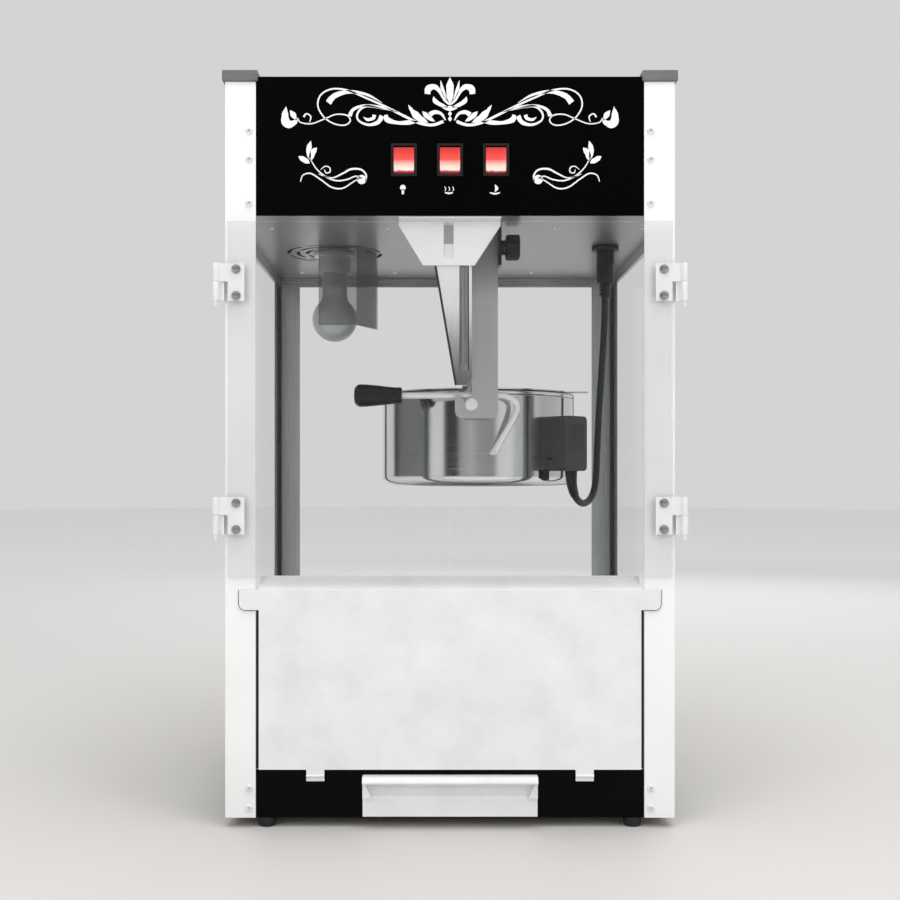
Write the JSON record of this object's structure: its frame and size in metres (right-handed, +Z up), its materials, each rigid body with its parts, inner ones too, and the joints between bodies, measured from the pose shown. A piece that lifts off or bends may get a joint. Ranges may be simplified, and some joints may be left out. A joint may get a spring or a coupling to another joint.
{
  "type": "popcorn maker",
  "caption": "Countertop popcorn machine: glazed cabinet on corner posts, tilting lidded kettle hung from the ceiling, clear doors, folding front flap, kernel drawer",
  "frame": {"origin": "on the floor under the middle of the cabinet", "axes": "+Z up along the corner posts, -Y towards the doors and switches, +X to the right as seen from the front"},
  "size_m": [0.4314, 0.374, 0.69],
  "materials": {
    "white_paint": "smooth white powder coat",
    "black_paint": "gloss black enamel",
    "grey_plastic": "fine grained grey plastic",
    "black_plastic": "satin black plastic",
    "steel_sheet": "fine brushed stainless sheet",
    "satin_panel": "light satin sheet with a cloudy finish",
    "polished_steel": "polished stainless",
    "bright_chrome": "bright plated",
    "zinc": "plain zinc plated",
    "cast_heater": "dark cast block",
    "clear_sheet": "clear polished sheet",
    "smoked_sheet": "smoked translucent sheet",
    "frosted_glass": "frosted white glass",
    "foot_rubber": "matt black rubber",
    "lead_rubber": "satin black rubber sheath",
    "porcelain": "glossy off-white socket",
    "red_lens": "translucent red lens",
    "switch_black": "moulded dark grey bezel"
  },
  "bodies": {
    "cabinet": {"front_posts": "white_paint", "rear_posts": "white_paint", "post_caps": "grey_plastic", "post_screws": "bright_chrome", "control_panel": "black_paint", "top_sides": "black_paint", "top_rear": "black_paint", "roof_panel": "black_paint", "ceiling_panel": "steel_sheet", "ceiling_rails": "steel_sheet", "base_front": "black_paint", "base_walls": "black_paint", "bottom_plate": "zinc", "deck": "steel_sheet", "feet": "foot_rubber", "side_glass_left": "clear_sheet", "side_glass_right": "clear_sheet", "rear_glass": "clear_sheet", "glass_gaskets": "black_plastic", "hinge_post_leaves": "bright_chrome", "gear_motor": "zinc", "motor_plate": "zinc", "hanger_bracket": "satin_panel", "latch_tongue": "polished_steel", "hanger_arm_front": "steel_sheet", "hanger_arm_rear": "steel_sheet", "lamp_socket": "porcelain", "lamp_bulb": "frosted_glass", "lamp_guard": "smoked_sheet", "kettle_socket": "black_plastic", "cord_plug": "black_plastic", "switch_housings": "switch_black", "power_gland": "black_plastic", "warming_element": "zinc", "drawer_rails": "zinc", "clamp_bracket": "black_plastic", "kettle_cord": "lead_rubber"},
    "kettle": {"kettle_shell": "polished_steel", "kettle_pot": "polished_steel", "kettle_heater": "cast_heater", "crossbar": "polished_steel", "trunnion_pins": "bright_chrome", "handle_rod": "bright_chrome", "handle_grip": "black_plastic", "connector_box": "grey_plastic"},
    "lid_left": {"lid_left": "polished_steel"},
    "lid_right": {"lid_right": "polished_steel"},
    "agitator": {"agitator": "polished_steel"},
    "drive_shaft": {"drive_shaft": "bright_chrome"},
    "door_left": {"door_glass_left": "clear_sheet", "door_leaf_left": "bright_chrome"},
    "door_right": {"door_glass_right": "clear_sheet", "door_leaf_right": "bright_chrome"},
    "flap": {"flap_panel": "satin_panel"},
    "drawer": {"drawer_front": "satin_panel", "drawer_tray": "steel_sheet"},
    "rocker_left": {"rocker_left": "red_lens"},
    "rocker_middle": {"rocker_middle": "red_lens"},
    "rocker_right": {"rocker_right": "red_lens"},
    "clamp_knob": {"clamp_knob": "black_plastic"}
  },
  "joints": [
    {"name": "door_left_swing", "type": "hinge", "parent": "cabinet", "child": "door_left", "pos_m": [-0.2125, -0.18, 0.39], "axis": [0, 0, -1], "range_deg": [0, 170]},
    {"name": "door_right_swing", "type": "hinge", "parent": "cabinet", "child": "door_right", "pos_m": [0.2125, -0.18, 0.39], "axis": [0, 0, 1], "range_deg": [0, 170]},
    {"name": "flap_fold", "type": "hinge", "parent": "cabinet", "child": "flap", "pos_m": [0, -0.178, 0.048], "axis": [1, 0, 0], "range_deg": [0, 90]},
    {"name": "drawer_slide", "type": "slide", "parent": "cabinet", "child": "drawer", "axis": [0, -1, 0], "range_m": [0, 0.2]},
    {"name": "kettle_tilt", "type": "hinge", "parent": "cabinet", "child": "kettle", "pos_m": [0.0215, 0, 0.389], "axis": [0, -1, 0], "range_deg": [0, 95], "deforming": ["kettle_cord"]},
    {"name": "lid_left_lift", "type": "hinge", "parent": "kettle", "child": "lid_left", "pos_m": [0.021, 0, 0.4098], "axis": [0, 1, 0], "range_deg": [0, 80]},
    {"name": "lid_right_lift", "type": "hinge", "parent": "kettle", "child": "lid_right", "pos_m": [0.043, 0, 0.4098], "axis": [0, -1, 0], "range_deg": [0, 80]},
    {"name": "drive_spin", "type": "hinge", "parent": "cabinet", "child": "drive_shaft", "pos_m": [0.032, 0, 0.55], "axis": [0, 0, 1], "continuous": true},
    {"name": "agitator_spin", "type": "hinge", "parent": "kettle", "child": "agitator", "pos_m": [0.032, 0, 0.4], "axis": [0, 0, 1], "continuous": true},
    {"name": "rocker_left_press", "type": "hinge", "parent": "cabinet", "child": "rocker_left", "pos_m": [-0.042, -0.169, 0.6085], "axis": [1, 0, 0], "range_deg": [-16, 0]},
    {"name": "rocker_middle_press", "type": "hinge", "parent": "cabinet", "child": "rocker_middle", "pos_m": [0, -0.169, 0.6085], "axis": [1, 0, 0], "range_deg": [-16, 0]},
    {"name": "rocker_right_press", "type": "hinge", "parent": "cabinet", "child": "rocker_right", "pos_m": [0.042, -0.169, 0.6085], "axis": [1, 0, 0], "range_deg": [-16, 0]},
    {"name": "clamp_turn", "type": "hinge", "parent": "cabinet", "child": "clamp_knob", "pos_m": [0.06, -0.115, 0.54], "axis": [1, 0, 0], "continuous": true}
  ],
  "couplings": [
    {"joint": "agitator_spin", "follows": "drive_spin", "ratio": 1}
  ]
}
